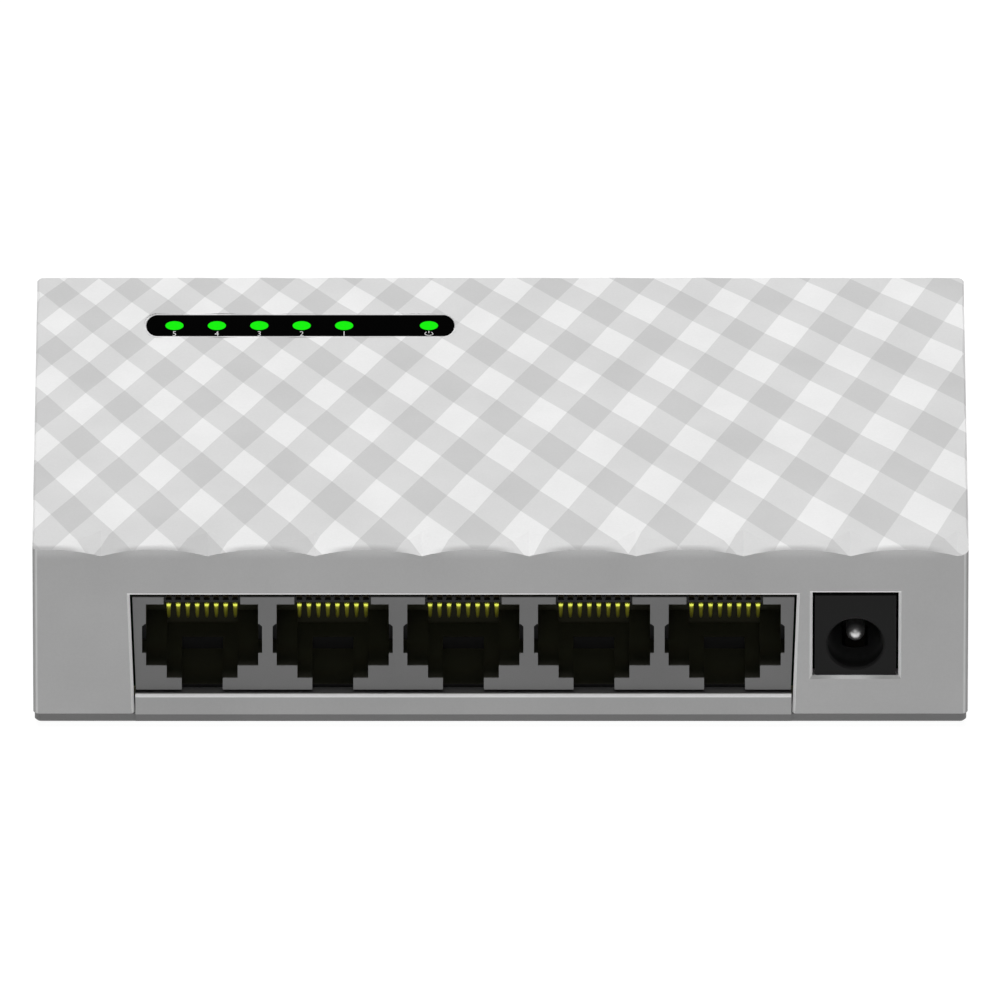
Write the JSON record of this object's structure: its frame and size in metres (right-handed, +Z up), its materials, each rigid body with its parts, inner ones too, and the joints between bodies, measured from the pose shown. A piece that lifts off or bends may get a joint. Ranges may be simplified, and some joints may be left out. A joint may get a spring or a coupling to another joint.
{
  "type": "desktop network switch",
  "caption": "Small box-shaped desktop network switch with a facet-moulded lid, a row of network sockets, a barrel power socket and a black indicator window.",
  "frame": {"origin": "middle of the footprint, on the plane the rubber feet stand on", "axes": "+Z up, the socket side faces -Y, the power socket is at the +X end of that side"},
  "size_m": [0.1, 0.06, 0.022],
  "materials": {
    "cover_plastic": "fine-grained light grey moulding",
    "base_plastic": "fine-grained mid grey moulding",
    "foot_rubber": "matt black rubber",
    "screw_steel": "zinc-plated steel",
    "label_paper": "blank satin label film",
    "window_film": "polished black acrylic",
    "light_pipe": "clear moulding, lit green",
    "lamp_resin": "clear resin on white ceramic",
    "jack_plastic": "grey moulded jack housing",
    "carrier_plastic": "black moulded insert",
    "contact_gold": "gold-plated phosphor bronze",
    "lead_bronze": "dull phosphor bronze",
    "spring_bronze": "darkened phosphor bronze",
    "power_plastic": "black moulding",
    "pin_metal": "nickel-plated brass",
    "tag_metal": "tinned brass",
    "board_green": "green solder mask on glass-epoxy",
    "chip_epoxy": "black epoxy with tinned leads",
    "crystal_can": "polished metal can",
    "capacitor_can": "aluminium can on a black foot",
    "inductor_ferrite": "grey ferrite",
    "chip_ceramic": "tan ceramic with tinned ends"
  },
  "bodies": {
    "case": {"top_cover": "cover_plastic", "base_shell": "base_plastic", "foot_rear_left": "foot_rubber", "foot_rear_right": "foot_rubber", "foot_front_left": "foot_rubber", "foot_front_right": "foot_rubber", "case_screws": "screw_steel", "rating_label": "label_paper", "indicator_window": "window_film", "ethernet_jack_housing": "jack_plastic", "power_jack_body": "power_plastic", "power_jack_centre_pin": "pin_metal", "power_jack_terminals": "tag_metal", "circuit_board": "board_green", "switch_chip": "chip_epoxy", "filter_capacitor_1": "capacitor_can", "filter_capacitor_2": "capacitor_can", "crystal": "crystal_can", "power_inductor": "inductor_ferrite", "voltage_regulator": "chip_epoxy", "chip_resistors": "chip_ceramic", "chip_capacitors": "chip_ceramic", "light_pipe_port_5": "light_pipe", "lamp_port_5": "lamp_resin", "light_pipe_port_4": "light_pipe", "lamp_port_4": "lamp_resin", "light_pipe_port_3": "light_pipe", "lamp_port_3": "lamp_resin", "light_pipe_port_2": "light_pipe", "lamp_port_2": "lamp_resin", "light_pipe_port_1": "light_pipe", "lamp_port_1": "lamp_resin", "light_pipe_power": "light_pipe", "lamp_power": "lamp_resin", "port_5_contact_carrier": "carrier_plastic", "port_5_leads": "lead_bronze", "port_5_transformer": "chip_epoxy", "port_4_contact_carrier": "carrier_plastic", "port_4_leads": "lead_bronze", "port_4_transformer": "chip_epoxy", "port_3_contact_carrier": "carrier_plastic", "port_3_leads": "lead_bronze", "port_3_transformer": "chip_epoxy", "port_2_contact_carrier": "carrier_plastic", "port_2_leads": "lead_bronze", "port_2_transformer": "chip_epoxy", "port_1_contact_carrier": "carrier_plastic", "port_1_leads": "lead_bronze", "port_1_transformer": "chip_epoxy"},
    "port_5_spring": {"port_5_contacts": "contact_gold"},
    "port_4_spring": {"port_4_contacts": "contact_gold"},
    "port_3_spring": {"port_3_contacts": "contact_gold"},
    "port_2_spring": {"port_2_contacts": "contact_gold"},
    "port_1_spring": {"port_1_contacts": "contact_gold"},
    "power_side_spring": {"power_jack_side_contact": "spring_bronze"}
  },
  "joints": [
    {"name": "port_5_contact_flex", "type": "hinge", "parent": "case", "child": "port_5_spring", "pos_m": [-0.03191, -0.02915, 0.01475], "axis": [1, 0, 0], "range_deg": [0, 12], "stiffness_Nm_per_rad": 0.29},
    {"name": "port_4_contact_flex", "type": "hinge", "parent": "case", "child": "port_4_spring", "pos_m": [-0.01794, -0.02915, 0.01475], "axis": [1, 0, 0], "range_deg": [0, 12], "stiffness_Nm_per_rad": 0.29},
    {"name": "port_3_contact_flex", "type": "hinge", "parent": "case", "child": "port_3_spring", "pos_m": [-0.00397, -0.02915, 0.01475], "axis": [1, 0, 0], "range_deg": [0, 12], "stiffness_Nm_per_rad": 0.29},
    {"name": "port_2_contact_flex", "type": "hinge", "parent": "case", "child": "port_2_spring", "pos_m": [0.01, -0.02915, 0.01475], "axis": [1, 0, 0], "range_deg": [0, 12], "stiffness_Nm_per_rad": 0.29},
    {"name": "port_1_contact_flex", "type": "hinge", "parent": "case", "child": "port_1_spring", "pos_m": [0.02397, -0.02915, 0.01475], "axis": [1, 0, 0], "range_deg": [0, 12], "stiffness_Nm_per_rad": 0.29},
    {"name": "power_contact_flex", "type": "hinge", "parent": "case", "child": "power_side_spring", "pos_m": [0.03795, -0.0172, 0.0058], "axis": [1, 0, 0], "range_deg": [0, 5], "stiffness_Nm_per_rad": 0.25}
  ]
}
